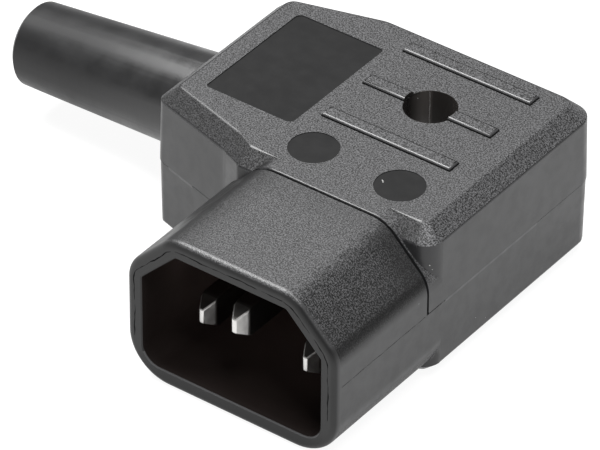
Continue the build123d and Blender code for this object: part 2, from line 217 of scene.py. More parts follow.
class MetalFinishSettings(bpy.types.PropertyGroup):
    """Looks of the pins, the screws and the clamp."""

    nickel_colour: bpy.props.FloatVectorProperty(
        name="Nickel colour", description="Colour of the plated pins",
        subtype="COLOR", size=3, min=0.0, max=1.0, default=(0.74, 0.73, 0.71),
    )
    # Painted shade: the pins' colour behind their points and on the points' upper slopes
    painted_shade_nickel_colour: bpy.props.FloatVectorProperty(
        name="Dull nickel colour", description="Colour of the pins where they are not wiped bright",
        subtype="COLOR", size=3, min=0.0, max=1.0, default=(0.10, 0.095, 0.09),
    )
    nickel_roughness: bpy.props.FloatProperty(
        name="Nickel roughness", description="Roughness of the plated pins",
        subtype="FACTOR", min=0.0, max=1.0, default=0.36,
    )
    pin_softness: bpy.props.FloatProperty(
        name="Pin softness", description="Width of the rounding on the edges of the pins' points",
        subtype="DISTANCE", unit="LENGTH", default=0.14 * MM, precision=6,
    )
    zinc_colour: bpy.props.FloatVectorProperty(
        name="Zinc colour", description="Colour of the plated screws",
        subtype="COLOR", size=3, min=0.0, max=1.0, default=(0.56, 0.57, 0.59),
    )
    clamp_colour: bpy.props.FloatVectorProperty(
        name="Clamp colour", description="Colour of the cord clamp",
        subtype="COLOR", size=3, min=0.0, max=1.0, default=(0.045, 0.045, 0.046),
    )


class StudioSettings(bpy.types.PropertyGroup):
    """Floor, lights and camera."""

    floor_colour: bpy.props.FloatVectorProperty(
        name="Floor colour", description="Colour of the pale floor",
        subtype="COLOR", size=3, min=0.0, max=1.0, default=(0.16, 0.16, 0.16),
    )
    azimuth: bpy.props.FloatProperty(
        name="Camera azimuth", description="Turn of the camera about the upright axis",
        subtype="ANGLE", unit="ROTATION", default=math.radians(36.372),
    )
    elevation: bpy.props.FloatProperty(
        name="Camera elevation", description="Height of the camera above the horizon",
        subtype="ANGLE", unit="ROTATION", default=math.radians(36.958),
    )
    roll: bpy.props.FloatProperty(
        name="Camera roll", description="Turn of the camera about its own line of sight",
        subtype="ANGLE", unit="ROTATION", default=math.radians(0.32),
    )
    distance: bpy.props.FloatProperty(
        name="Camera distance", description="Distance from the camera to the point it looks at",
        subtype="DISTANCE", unit="LENGTH", default=649.44 * MM, precision=5,
    )
    target: bpy.props.FloatVectorProperty(
        name="Camera target", description="Point that the camera looks at",
        subtype="TRANSLATION", unit="LENGTH", size=3, default=(-6.574 * MM, 21.458 * MM, 0.0),
    )
    lens: bpy.props.FloatProperty(
        name="Camera lens", description="Focal length for a sensor 36 mm wide",
        unit="CAMERA", default=353.99,
    )
    overhead_strength: bpy.props.FloatProperty(
        name="Overhead light", description="Power of the softbox above the object",
        unit="POWER", default=2.5,
    )
    front_strength: bpy.props.FloatProperty(
        name="Front light", description="Power of the small softbox above the front right corner",
        unit="POWER", default=2.4,
    )
    floor_glow: bpy.props.FloatProperty(
        name="Floor glow", description="Light that the pale floor gives off itself",
        min=0.0, default=0.92,
    )
    ambient: bpy.props.FloatProperty(
        name="Ambient light", description="Strength of the even light from all sides",
        min=0.0, default=0.22,
    )


class Finish:
    """Node tree of one finish, with short calls for the nodes that it uses."""

    def __init__(self, name):
        self.material = bpy.data.materials.new(name)
        self.material.use_nodes = True
        self.nodes = self.material.node_tree.nodes
        self.links = self.material.node_tree.links
        self.shader = self.nodes["Principled BSDF"]
        coordinates = self.nodes.new("ShaderNodeTexCoord")
        self.place = coordinates.outputs["Object"]
        self.normal = coordinates.outputs["Normal"]

    def connect(self, value, socket):
        """Links a socket, or sets a plain value."""
        if isinstance(value, bpy.types.NodeSocket):
            self.links.new(value, socket)
        else:
            socket.default_value = value

    def math(self, operation, first, second=0.0):
        """One step of arithmetic."""
        node = self.nodes.new("ShaderNodeMath")
        node.operation = operation
        self.connect(first, node.inputs[0])
        self.connect(second, node.inputs[1])
        return node.outputs[0]

    def above(self, value, limit):
        """1 where the value is above the limit, and 0 elsewhere."""
        return self.math("GREATER_THAN", value, limit)

    def below(self, value, limit):
        """1 where the value is below the limit, and 0 elsewhere."""
        return self.math("LESS_THAN", value, limit)

    def total(self, first, second):
        """Sum of two values."""
        return self.math("ADD", first, second)

    def product(self, *values):
        """Product of several values. Of shares, it is 1 only where all of them are 1."""
        result = values[0]
        for value in values[1:]:
            result = self.math("MULTIPLY", result, value)
        return result

    def largest(self, *values):
        """Largest of several values. Of shares, it is 1 where any of them is 1."""
        result = values[0]
        for value in values[1:]:
            result = self.math("MAXIMUM", result, value)
        return result

    def axes(self, vector):
        """The three parts of a vector."""
        node = self.nodes.new("ShaderNodeSeparateXYZ")
        self.links.new(vector, node.inputs[0])
        return node.outputs[0], node.outputs[1], node.outputs[2]

    def ease(self, value, start, end, low=0.0, high=1.0):
        """Smooth change from low at start to high at end."""
        node = self.nodes.new("ShaderNodeMapRange")
        node.interpolation_type = "SMOOTHSTEP"
        self.connect(value, node.inputs["Value"])
        node.inputs["From Min"].default_value = start
        node.inputs["From Max"].default_value = end
        node.inputs["To Min"].default_value = low
        node.inputs["To Max"].default_value = high
        return node.outputs["Result"]

    def noise(self, spacing, detail=2.0, roughness=0.5, place=None):
        """Even random pattern with the given spacing in metres."""
        node = self.nodes.new("ShaderNodeTexNoise")
        self.links.new(place or self.place, node.inputs["Vector"])
        node.inputs["Scale"].default_value = 1.0 / spacing
        node.inputs["Detail"].default_value = detail
        node.inputs["Roughness"].default_value = roughness
        return node.outputs["Fac"]

    def stretched(self, along, across, angle=0.0):
        """Place scaled unevenly, for brush marks and scratches."""
        node = self.nodes.new("ShaderNodeMapping")
        self.links.new(self.place, node.inputs["Vector"])
        node.inputs["Rotation"].default_value = (0.0, 0.0, angle)
        node.inputs["Scale"].default_value = (1.0 / along, 1.0 / across, 1.0 / across)
        return node.outputs["Vector"]

    def toned(self, colour, tone):
        """A plain colour made lighter or darker by a pattern."""
        node = self.nodes.new("ShaderNodeVectorMath")
        node.operation = "SCALE"
        node.inputs[0].default_value = tuple(colour)
        self.links.new(tone, node.inputs["Scale"])
        return node.outputs[0]

    def mix_colours(self, share, first, second):
        """First colour where the share is 0, second where it is 1."""
        node = self.nodes.new("ShaderNodeMix")
        node.data_type = "RGBA"
        self.connect(share, node.inputs["Factor"])
        self.set_colour(first, node.inputs[6])
        self.set_colour(second, node.inputs[7])
        return node.outputs[2]

    def set_colour(self, colour, socket):
        """Links a colour socket, or sets a plain colour."""
        if isinstance(colour, bpy.types.NodeSocket):
            self.links.new(colour, socket)
        else:
            socket.default_value = (*colour, 1.0)

    def mix_values(self, share, first, second):
        """First value where the share is 0, second where it is 1."""
        node = self.nodes.new("ShaderNodeMix")
        node.data_type = "FLOAT"
        self.connect(share, node.inputs[0])
        self.connect(first, node.inputs[2])
        self.connect(second, node.inputs[3])
        return node.outputs[0]

    def layered_colours(self, colour, *layers):
        """A colour with layers over it, each given by its share and its own colour."""
        for share, layer in layers:
            colour = self.mix_colours(share, colour, layer)
        return colour

    def layered_values(self, value, *layers):
        """A value with layers over it, each given by its share and its own value."""
        for share, layer in layers:
            value = self.mix_values(share, value, layer)
        return value

    def bump(self, height, distance):
        """Relief from a height pattern."""
        node = self.nodes.new("ShaderNodeBump")
        node.inputs["Strength"].default_value = 1.0
        node.inputs["Distance"].default_value = distance
        self.links.new(height, node.inputs["Height"])
        self.links.new(node.outputs["Normal"], self.shader.inputs["Normal"])

    def set(self, **values):
        """Sets or links the shader's own sockets, named with underscores for spaces."""
        for name, value in values.items():
            socket = self.shader.inputs[name.replace("_", " ")]
            if socket.type == "RGBA":
                self.set_colour(value, socket)
            else:
                self.connect(value, socket)


def dress(node_names, material):
    """Gives solids a finish."""
    for name in node_names:
        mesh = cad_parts[name].data
        mesh.materials.clear()
        mesh.materials.append(material)


def shell_faces(finish):
    """Shares that tell which kind of face a place on the shells belongs to."""
    x, y, z = finish.axes(finish.place)
    right, back, up = finish.axes(finish.normal)
    wide = finish.math("ABSOLUTE", x)
    tall = finish.math("ABSOLUTE", z)
    faces = SimpleNamespace(x=x, y=y, z=z, right=right, back=back, up=up)
    faces.on_shroud = finish.below(y, SHROUD_LENGTH)
    faces.on_body = finish.above(y, SHROUD_LENGTH)

    # Marking plate and discs, sunk into the top
    faces.polished = finish.product(
        finish.above(up, 0.997),
        finish.below(z, HALF_BODY - 0.04 * MM),
        finish.above(z, HALF_BODY - 0.4 * MM),
        finish.above(y, SHROUD_LENGTH + 0.5 * MM),
    )

    # Inside of the mating opening
    faces.recess = finish.product(
        finish.below(wide, OPENING_HALF_WIDTH),
        finish.below(tall, OPENING_HALF_HEIGHT),
        finish.below(finish.total(wide, z), BODY_RIGHT + HALF_BODY - SHROUD_BEVEL - 1.6 * MM),
        finish.above(y, 0.12 * MM),
        finish.below(y, OPENING_BACK),
    )

    # Well of the housing screw, and the way across it
    from_middle_x = finish.math("SUBTRACT", x, WELL_MIDDLE.x)
    from_middle_y = finish.math("SUBTRACT", y, WELL_MIDDLE.y)
    squared = finish.total(
        finish.product(from_middle_x, from_middle_x),
        finish.product(from_middle_y, from_middle_y),
    )
    faces.well = finish.product(
        finish.below(squared, (WELL_RADIUS + 0.03 * MM) ** 2),
        finish.above(z, 0.0),
    )
    faces.across_well = finish.total(
        finish.product(from_middle_x, math.cos(WELL_TURN)),
        finish.product(from_middle_y, math.sin(WELL_TURN)),
    )

    # Edges of the ribs, coloured pale as a painted highlight, and the painted shade at their foot and on
    # their far side
    faces.rib_edges = finish.product(
        finish.above(z, HALF_BODY + HAIR),
        finish.below(up, 0.995),
    )
    foot = finish.ease(z, HALF_BODY + 0.27 * MM, HALF_BODY + 0.12 * MM)
    far = finish.largest(finish.ease(back, 0.03, 0.15), finish.ease(right, -0.03, -0.15))
    faces.rib_shade = finish.product(faces.rib_edges, finish.largest(foot, far))

    # Rim's rounding with its front and its crown, the crown partly painted light as a highlight, and the
    # lower lip of the opening, painted pale as a highlight
    faces.rim = finish.below(y, RIM_ROUNDING)
    faces.rim_front = finish.product(faces.rim, finish.ease(back, -0.3, -0.7))
    faces.rim_crown = finish.product(faces.rim, finish.ease(up, 0.55, 0.85))
    faces.lip = finish.product(
        finish.below(y, 0.16 * MM),
        finish.below(z, 0.0),
        finish.above(up, 0.3),
        finish.below(up, 0.9),
    )

    # Bevels of the shroud painted dark as shade: the whole left one, and the right one at its foot and next
    # to the hood
    faces.left_bevel = finish.product(
        finish.ease(right, -0.25, -0.6),
        finish.above(z, 0.0),
        finish.above(x, -BODY_RIGHT - 0.05 * MM),
        finish.above(up, 0.1),
        finish.below(y, HOOD_END - 0.8 * MM),
    )
    right_bevel = finish.product(
        faces.on_shroud,
        finish.ease(right, 0.3, 0.5),
        finish.ease(up, 0.04, 0.45),
    )
    shade_by_hood = finish.ease(y, SHROUD_LENGTH - 6.0 * MM, SHROUD_LENGTH - 1.0 * MM, 0.0, 0.45)
    faces.bevel_foot = finish.product(right_bevel, finish.ease(up, 0.68, 0.5, 0.0, 0.75))
    faces.bevel_shade = finish.largest(finish.product(right_bevel, shade_by_hood), faces.bevel_foot)

    # Grain, on what leans towards the top or the bottom and isn't smooth
    smooth = finish.largest(
        faces.polished, faces.recess, faces.well, faces.rib_edges, faces.rim, faces.left_bevel
    )
    leaning = finish.ease(finish.math("ABSOLUTE", up), 0.12, 0.42)
    faces.grainy = finish.product(leaning, finish.math("SUBTRACT", 1.0, smooth))
    return faces


def grain_and_painted_light(finish, faces, grain):
    """Light and dark of the grain, strongest on the right bevel and toned by a face's place and lean, with
    painted shade and a painted highlight.
    """
    lean = finish.ease(faces.right, 0.25, 0.6)
    sparkle = finish.mix_values(
        finish.product(lean, faces.on_shroud),
        finish.ease(grain, 0.40, 0.62, 0.0, 2.25),
        finish.ease(grain, 0.45, 0.60, 0.0, 3.0),
    )
    lean_tone = finish.ease(faces.y, SHROUD_LENGTH, SHROUD_LENGTH + 1.0 * MM, -0.34, 0.22)
    # Painted shade on faces towards the front and the front left, and a painted highlight on the body's front
    # right corner
    facing_front = finish.ease(faces.back, -0.2, -0.5)
    front_left_shade = finish.product(finish.ease(faces.right, -0.06, -0.15), facing_front)
    front = finish.product(
        facing_front,
        finish.ease(finish.math("ABSOLUTE", faces.right), 0.2, 0.05),
        faces.on_body,
    )
    front_right_highlight = finish.product(
        finish.ease(faces.right, 0.15, 0.4),
        finish.ease(faces.back, -0.15, -0.4),
        faces.on_body,
    )
    # Painted shade on the shroud: darker towards its left edge, next to the hood and lower down
    shroud_left = SHROUD_BEVEL - BODY_RIGHT
    shroud_painted_shade = finish.product(
        finish.ease(faces.x, shroud_left, shroud_left + 4.2 * MM, 0.45, 1.0),
        finish.ease(faces.y, SHROUD_LENGTH - 5.0 * MM, SHROUD_LENGTH - 0.5 * MM, 1.0, 0.84),
        finish.ease(faces.z, 4.0 * MM, 8.5 * MM, 0.62, 1.0),
    )
    return finish.product(
        sparkle,
        finish.total(1.0, finish.product(lean, lean_tone)),
        finish.ease(front_left_shade, 0.0, 1.0, 1.0, 0.45),
        finish.ease(front, 0.0, 1.0, 1.0, 0.62),
        finish.ease(front_right_highlight, 0.0, 1.0, 1.0, 1.5),
        finish.mix_values(faces.on_body, shroud_painted_shade, 1.0),
    )


def shell_colour(finish, faces, settings, sparkle):
    """Colour of the plain sides with the other kinds of faces laid over it, painted shade and painted
    highlights among them.
    """
    cloud_tone = finish.ease(finish.noise(6.0 * MM, 3.0, 0.5), 0.3, 0.7, 0.92, 1.08)
    # Random clouds, and the rim painted darker towards the bottom as shade
    cloud_and_low_rim_shade = finish.product(cloud_tone, finish.ease(faces.z, LOW_RIM, LOW_RIM_END, 0.6, 1.0))
    # Inside the opening: random clouds, painted shade near the front and painted light deep inside
    recess_painted_light_and_shade = finish.product(cloud_tone, finish.ease(faces.y, 1.0 * MM, 16.5 * MM, 0.5, 5.0))
    # Inside the well: painted light just short of the mould line, painted shade further off and past it
    well_painted_light_and_shade = finish.product(
        finish.ease(faces.across_well, -2.6 * MM, -0.6 * MM, 0.25, 1.25),
        finish.ease(faces.across_well, 0.05 * MM, 0.4 * MM, 1.0, 0.45),
    )
    # Pale colour of the ribs' edges and of the lower lip: painted highlight
    painted_edge_highlight = finish.toned(settings.grain_colour, cloud_tone)
    return finish.layered_colours(
        finish.toned(settings.side_colour, cloud_tone),
        (faces.grainy, finish.toned(settings.grain_colour, sparkle)),
        # Polished colour on the rim's front, painted darker towards the bottom as shade, and on the left
        # bevel as painted shade
        (
            finish.largest(faces.rim_front, faces.left_bevel),
            finish.toned(settings.polished_colour, cloud_and_low_rim_shade),
        ),
        (faces.bevel_shade, SHADE),
        # Rim's crown in grain colour, partly a painted highlight
        (faces.rim_crown, finish.toned(settings.grain_colour, finish.product(sparkle, 1.05))),
        (faces.rib_edges, painted_edge_highlight),
        (faces.rib_shade, SHADE),
        (faces.polished, finish.toned(settings.polished_colour, cloud_tone)),
        (faces.well, finish.toned(settings.well_painted_light_colour, well_painted_light_and_shade)),
        (faces.recess, finish.toned(settings.recess_colour, recess_painted_light_and_shade)),
        (faces.lip, painted_edge_highlight),
    )


def shell_roughness(finish, faces, settings):
    """Roughness of the plain sides with the other kinds of faces laid over it."""
    worn = finish.noise(1.6 * MM, 4.0, 0.6)
    return finish.layered_values(
        finish.ease(worn, 0.3, 0.7, settings.side_roughness - 0.05, settings.side_roughness + 0.05),
        (faces.grainy, settings.grain_roughness),
        (faces.polished, finish.ease(worn, 0.3, 0.7, 0.18, 0.26)),
        (faces.well, 0.2),
        (faces.rim, settings.edge_roughness + 0.20),
        (faces.rib_edges, settings.edge_roughness + 0.07),
    )


def shell_gloss(finish, faces):
    """Gloss of the plain sides, less towards the bottom, with the other kinds of faces laid over it."""
    return finish.layered_values(
        finish.ease(faces.z, -9.0 * MM, 1.0 * MM, 0.38, 0.5),
        (faces.left_bevel, 0.15),
        (faces.bevel_foot, 0.15),
        (faces.rim, 0.75),
        (faces.rim_front, finish.ease(faces.z, LOW_RIM, LOW_RIM_END, 0.3, 0.4)),
        (faces.recess, 0.15),
        (faces.lip, 0.8),
        (faces.rib_edges, 0.75),
        (faces.rib_shade, 0.15),
    )


def moulded_shell_finish(settings):
    """Black plastic: grain on top and bottom, smooth sides, polished plate and discs, dark recess."""
    finish = Finish("moulded_black_shell")
    faces = shell_faces(finish)
    coarse = finish.noise(settings.grain_size, 2.0, 0.55)
    fine = finish.noise(settings.grain_size * 0.45, 2.0, 0.6)
    grain = finish.total(finish.product(coarse, 0.65), finish.product(fine, 0.35))
    waves = finish.product(finish.noise(0.6 * MM, 2.0, 0.5), 0.03)
    finish.bump(finish.total(finish.product(grain, faces.grainy), waves), settings.grain_depth)
    # Grain tone with painted shade and painted highlights in it
    sparkle = grain_and_painted_light(finish, faces, grain)
    finish.set(
        Base_Color=shell_colour(finish, faces, settings, sparkle),
        Roughness=shell_roughness(finish, faces, settings),
        Specular_IOR_Level=shell_gloss(finish, faces),
    )
    return finish.material


def moulded_edge_finish(settings):
    """Smooth black plastic of the rounded edges, with grain only on the right edge of the top."""
    finish = Finish("moulded_black_edges")
    right, _, up = finish.axes(finish.normal)
    grainy = finish.product(finish.ease(right, 0.08, 0.2), finish.ease(up, 0.6, 0.75))
    grain = finish.noise(settings.grain_size, 3.0, 0.6)
    worn = finish.noise(0.5 * MM, 3.0, 0.6)
    finish.bump(finish.mix_values(grainy, finish.product(worn, 0.1), grain), settings.grain_depth)
    low, high = settings.edge_roughness - 0.05, settings.edge_roughness + 0.07
    colour = finish.mix_colours(
        grainy,
        finish.toned(settings.side_colour, finish.ease(worn, 0.3, 0.7, 0.85, 1.15)),
        finish.toned(settings.grain_colour, finish.ease(grain, 0.40, 0.62, 0.0, 2.25)),
    )
    roughness = finish.mix_values(grainy, finish.ease(worn, 0.3, 0.7, low, high), settings.grain_roughness)
    finish.set(Base_Color=colour, Roughness=roughness)
    return finish.material


def mould_mark_finish(name, colour, roughness, gloss=0.5):
    """Uneven plastic of creases, torn flakes and dust."""
    finish = Finish(name)
    clouds = finish.noise(0.3 * MM, 3.0, 0.6)
    finish.bump(finish.noise(0.1 * MM, 2.0, 0.5), 0.01 * MM)
    finish.set(
        Base_Color=finish.toned(colour, finish.ease(clouds, 0.3, 0.7, 0.7, 1.3)),
        Roughness=finish.ease(clouds, 0.3, 0.7, roughness - 0.08, roughness + 0.08),
        Specular_IOR_Level=gloss,
    )
    return finish.material


def rubber_sleeve_finish(settings):
    """Satin black rubber with faint streaks round the sleeve."""
    finish = Finish("satin_black_rubber")
    clouds = finish.noise(3.0 * MM, 3.0, 0.55)
    colour = finish.toned(settings.colour, finish.ease(clouds, 0.3, 0.7, 0.85, 1.15))
    x = finish.axes(finish.place)[0]
    handled = finish.ease(x, SLEEVE_OUTER, SLEEVE_INNER, 0.04, -0.08)
    roughness = finish.ease(clouds, 0.25, 0.75, settings.roughness - 0.06, settings.roughness + 0.06)
    gloss = finish.ease(x, SLEEVE_OUTER, SLEEVE_INNER, 0.35, 0.62)
    streaks = finish.noise(1.0, 3.0, 0.6, finish.stretched(0.5 * MM, 4.0 * MM))
    finish.bump(streaks, 0.012 * MM)
    finish.set(Base_Color=colour, Roughness=finish.total(roughness, handled), Specular_IOR_Level=gloss)
    return finish.material


def nickel_pin_finish(name, settings, tip):
    """Satin nickel plate with fine lines, bright at the pin's point and painted dark as shade behind it and
    on its upper slope.
    """
    finish = Finish(name + "_nickel_plate")
    lines = finish.noise(1.0, 2.0, 0.6, finish.stretched(0.10 * MM, 2.5 * MM, math.pi / 2))
    clouds = finish.noise(0.9 * MM, 3.0, 0.6)
    worn = finish.ease(clouds, 0.25, 0.75, 0.90, 1.06)
    depth = finish.axes(finish.place)[1]
    ragged = finish.total(depth, finish.product(clouds, 0.2 * MM))
    # Painted shade behind the point, with a ragged edge, and on the point's upper slope
    behind = finish.ease(ragged, tip + PIN_SHADE_START, tip + PIN_SHADE_END)
    upper_slope_shade = finish.ease(finish.axes(finish.normal)[2], 0.79, 0.865, 0.0, 0.85)
    colour = finish.mix_colours(
        finish.largest(behind, upper_slope_shade),
        finish.toned(settings.nickel_colour, worn),
        finish.toned(settings.painted_shade_nickel_colour, worn),
    )
    finish.bump(lines, 0.004 * MM)
    low, high = settings.nickel_roughness - 0.05, settings.nickel_roughness + 0.05
    finish.set(Base_Color=colour, Roughness=finish.ease(clouds, 0.25, 0.75, low, high), Metallic=1.0)
    return finish.material


def zinc_screw_finish(settings):
    """Zinc-plated steel, slightly cloudy."""
    finish = Finish("zinc_plated_steel")
    clouds = finish.noise(0.7 * MM, 4.0, 0.6)
    colour = finish.toned(settings.zinc_colour, finish.ease(clouds, 0.25, 0.75, 0.75, 1.05))
    finish.bump(finish.noise(0.12 * MM, 3.0, 0.6), 0.006 * MM)
    finish.set(Base_Color=colour, Roughness=finish.ease(clouds, 0.3, 0.7, 0.28, 0.45), Metallic=1.0)
    return finish.material


def clamp_finish(settings):
    """Plain black moulding for the hidden clamp."""
    finish = Finish("plain_black_clamp")
    clouds = finish.noise(1.2 * MM, 3.0, 0.55)
    colour = finish.toned(settings.clamp_colour, finish.ease(clouds, 0.3, 0.7, 0.85, 1.15))
    finish.bump(finish.noise(0.25 * MM, 2.0, 0.5), 0.01 * MM)
    finish.set(Base_Color=colour, Roughness=finish.ease(clouds, 0.3, 0.7, 0.40, 0.52))
    return finish.material


def floor_finish(settings):
    """Pale matte floor that glows a little, like a light table, with a very faint unevenness."""
    finish = Finish("pale_studio_floor")
    clouds = finish.noise(60.0 * MM, 2.0, 0.5)
    colour = finish.toned(settings.floor_colour, finish.ease(clouds, 0.3, 0.7, 0.99, 1.01))
    glow = finish.toned((1.0, 1.0, 1.0), finish.ease(clouds, 0.3, 0.7, 0.99, 1.01))
    finish.set(Base_Color=colour, Roughness=0.85, Emission_Color=glow, Emission_Strength=settings.floor_glow)
    return finish.material


def is_open(edge, tree):
    """Tells whether an edge can be seen from outside."""
    middle = (edge.verts[0].co + edge.verts[1].co) / 2
    first, second = edge.link_faces[0].normal, edge.link_faces[1].normal
    outward = (first + second).normalized()
    for direction in (outward, (outward + first).normalized(), (outward + second).normalized()):
        if tree.ray_cast(middle + direction * 0.06 * MM, direction)[0] is None:
            return True
    return False


def edge_softness(edge, settings):
    """Width of the rounding that an outer edge gets."""
    middle = (edge.verts[0].co + edge.verts[1].co) / 2
    length = edge.calc_length()
    ups = [abs(face.normal.z) for face in edge.link_faces]
    narrowest = min(face.calc_area() for face in edge.link_faces) / max(length, 0.001 * MM)
    at_seam = abs(middle.z) < 0.3 * MM
    at_shroud_root = abs(middle.y - SHROUD_LENGTH) < 0.05 * MM
    at_hood_end = abs(middle.y - HOOD_END) < 0.06 * MM and middle.x > 0.0
    at_hood_front = abs(middle.y - HOOD_FRONT) < 0.05 * MM and max(ups) < 0.9
    above_top = abs(middle.z) > HALF_BODY + HAIR
    in_top = abs(middle.z) > HALF_BODY - 0.35 * MM and middle.y > SHROUD_LENGTH + 1.0 * MM
    sunk_in_top = in_top and (min(ups) < 0.1 or min(ups) > 0.95)
    round_top = abs(abs(middle.z) - HALF_BODY) < HAIR and max(ups) > 0.99 and 0.5 < min(ups) < 0.9
    in_opening = (
        abs(middle.x) < OPENING_HALF_WIDTH
        and abs(middle.z) < OPENING_HALF_HEIGHT
        and middle.y < OPENING_BACK
    )
    if at_seam or at_shroud_root or at_hood_front or at_hood_end or above_top or sunk_in_top or in_opening:
        return 0.0
    if round_top and edge.is_convex and length > 0.02 * MM:
        return settings.edge_softness
    if length < 0.12 * MM or narrowest < 0.3 * MM or not edge.is_convex:
        return 0.0
    return settings.edge_softness


def spread_blend(work):
    """Widens the curve in which the slanted side runs up to the hood."""
    rows = {}
    for vertex in work.verts:
        place = vertex.co
        if BLEND_LOW.x < place.x < BLEND_HIGH.x and BLEND_LOW.y < place.y < BLEND_HIGH.y:
            rows.setdefault(round(place.z / MM, 1), []).append(vertex)
    for row in rows.values():
        if len(row) < 3:
            continue
        row.sort(key=lambda vertex: vertex.co.x)
        first, last = row[0].co.to_2d(), row[-1].co.to_2d()
        corner = first + SLANT_RUN * ((last - first).cross(HOOD_RUN) / SLANT_RUN.cross(HOOD_RUN))
        start = corner - SLANT_RUN * BLEND_ON_SLANT
        end = corner + HOOD_RUN * (BLEND_ON_HOOD if row[0].co.z > HOOD_FOOT else BLEND_UNDER_HOOD)
        for index, vertex in enumerate(row):
            share = index / (len(row) - 1)
            flat = start * (1 - share) ** 2 + corner * 2 * share * (1 - share) + end * share ** 2
            vertex.co.x, vertex.co.y = flat.x, flat.y


def closed_copy(name):
    """Welded copy of a solid's mesh, with its flat faces joined."""
    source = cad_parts[name].data.copy()
    if source.has_custom_normals:
        source.attributes.remove(source.attributes["custom_normal"])
    work = bmesh.new()
    work.from_mesh(source)
    bpy.data.meshes.remove(source)
    bmesh.ops.remove_doubles(work, verts=work.verts, dist=0.001 * MM)
    bmesh.ops.dissolve_limit(work, angle_limit=math.radians(0.5), verts=work.verts, edges=work.edges)
    work.normal_update()
    for edge in work.edges:
        if len(edge.link_faces) != 2:
            raise RuntimeError("the mesh of " + name + " does not close")
    return work


def place_piece(piece_name, work, materials):
    """Puts a finished mesh into the scene as a piece that rides on the body."""
    mesh = bpy.data.meshes.new(piece_name)
    work.to_mesh(mesh)
    work.free()
    for material in materials:
        mesh.materials.append(material)
    piece = bpy.data.objects.new(piece_name, mesh)
    bpy.context.scene.collection.objects.link(piece)
    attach(piece, "root")
    return piece


def soft_edged_copy(name, piece_name, work, widths, materials):
    """Copy of a solid with rounded edges of the given widths, shown in the solid's place."""
    weights = work.edges.layers.float.new("bevel_weight_edge")
    for edge in work.edges:
        edge[weights] = widths(edge) / MM
    piece = place_piece(piece_name, work, materials)
    piece.data.shade_smooth()
    piece.data.set_sharp_from_angle(angle=SHARP_EDGE)
    rounding = piece.modifiers.new("rounding", "BEVEL")
    rounding.limit_method = "WEIGHT"
    rounding.width = MM
    rounding.segments = 3
    rounding.use_clamp_overlap = False
    rounding.material = len(materials) - 1
    shading = piece.modifiers.new("shading", "WEIGHTED_NORMAL")
    shading.keep_sharp = True
    shading.weight = 80
    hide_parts(name)


def all_solids():
    """Search tree over the faces of every solid."""
    corners, faces = [], []
    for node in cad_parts.values():
        start = len(corners)
        corners += [vertex.co.copy() for vertex in node.data.vertices]
        faces += [[start + index for index in face.vertices] for face in node.data.polygons]
    return BVHTree.FromPolygons(corners, faces)


class CONNECTOR_OT_finish_shells(bpy.types.Operator):
    """Round the outer edges of the base and the cover and give them their moulded finish"""

    bl_idname = "connector.finish_shells"
    bl_label = "Finish shells"

    def execute(self, context):
        settings = context.scene.connector_shell
        material = moulded_shell_finish(settings)
        dress(["base_shell", "cover_shell"], material)
        tree = all_solids()
        materials = [material, moulded_edge_finish(settings)]

        def widths(edge):
            if edge.calc_face_angle() > SHELL_EDGE and is_open(edge, tree):
                return edge_softness(edge, settings)
            return 0.0

        for name, piece_name in (("base_shell", "soft_edged_base"), ("cover_shell", "soft_edged_cover")):
            work = closed_copy(name)
            spread_blend(work)
            work.normal_update()
            soft_edged_copy(name, piece_name, work, widths, materials)
        return {"FINISHED"}


class CONNECTOR_OT_finish_sleeve(bpy.types.Operator):
    """Draw out the end of the cord sleeve and give it its rubber finish"""

    bl_idname = "connector.finish_sleeve"
    bl_label = "Finish cord sleeve"

    def execute(self, context):
        settings = context.scene.connector_sleeve
        material = rubber_sleeve_finish(settings)
        dress(["cord_sleeve"], material)
        work = closed_copy("cord_sleeve")
        end = min(vertex.co.x for vertex in work.verts)
        for vertex in work.verts:
            if vertex.co.x < end + SOFT_END:
                vertex.co.x -= settings.reach
        work.normal_update()
        soft_edged_copy("cord_sleeve", "drawn_out_sleeve", work, lambda edge: 0.0, [material])
        return {"FINISHED"}


class CONNECTOR_OT_finish_pins(bpy.types.Operator):
    """Round the points of the three pins and give them their nickel plate"""

    bl_idname = "connector.finish_pins"
    bl_label = "Finish pins"

    def execute(self, context):
        settings = context.scene.connector_metal
        for name in ("line_pin", "neutral_pin", "earth_pin"):
            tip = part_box(name)[0].y
            material = nickel_pin_finish(name, settings, tip)
            dress([name], material)

            def widths(edge):
                near = min(vertex.co.y for vertex in edge.verts) < tip + POINT_LENGTH
                if near and edge.is_convex and edge.calc_face_angle() > PIN_EDGE:
                    return settings.pin_softness
                return 0.0

            soft_edged_copy(name, "soft_edged_" + name, closed_copy(name), widths, [material])
        return {"FINISHED"}


class CONNECTOR_OT_finish_fasteners(bpy.types.Operator):
    """Give the screws and the clamp their finishes"""

    bl_idname = "connector.finish_fasteners"
    bl_label = "Finish screws and clamp"

    def execute(self, context):
        settings = context.scene.connector_metal
        dress(["terminal_screws", "housing_screw", "cord_clamp_screws"], zinc_screw_finish(settings))
        dress(["cord_clamp"], clamp_finish(settings))
        return {"FINISHED"}


def wander(place, start):
    """Steady unevenness between -1 and 1 along a line measured in millimetres."""
    return (
        0.5 * math.sin(2.1 * place + start)
        + 0.3 * math.sin(5.3 * place + 1.7 * start)
        + 0.2 * math.sin(11.9 * place + 2.3 * start)
    )


def add_ridge(work, sections):
    """Thin closed ridge through three-cornered sections, left, top and right."""
    rings = [[work.verts.new(corner) for corner in section] for section in sections]
    for here, there in zip(rings, rings[1:]):
        for index in range(3):
            after = (index + 1) % 3
            work.faces.new((here[index], here[after], there[after], there[index]))
    work.faces.new(reversed(rings[0]))
    work.faces.new(rings[-1])


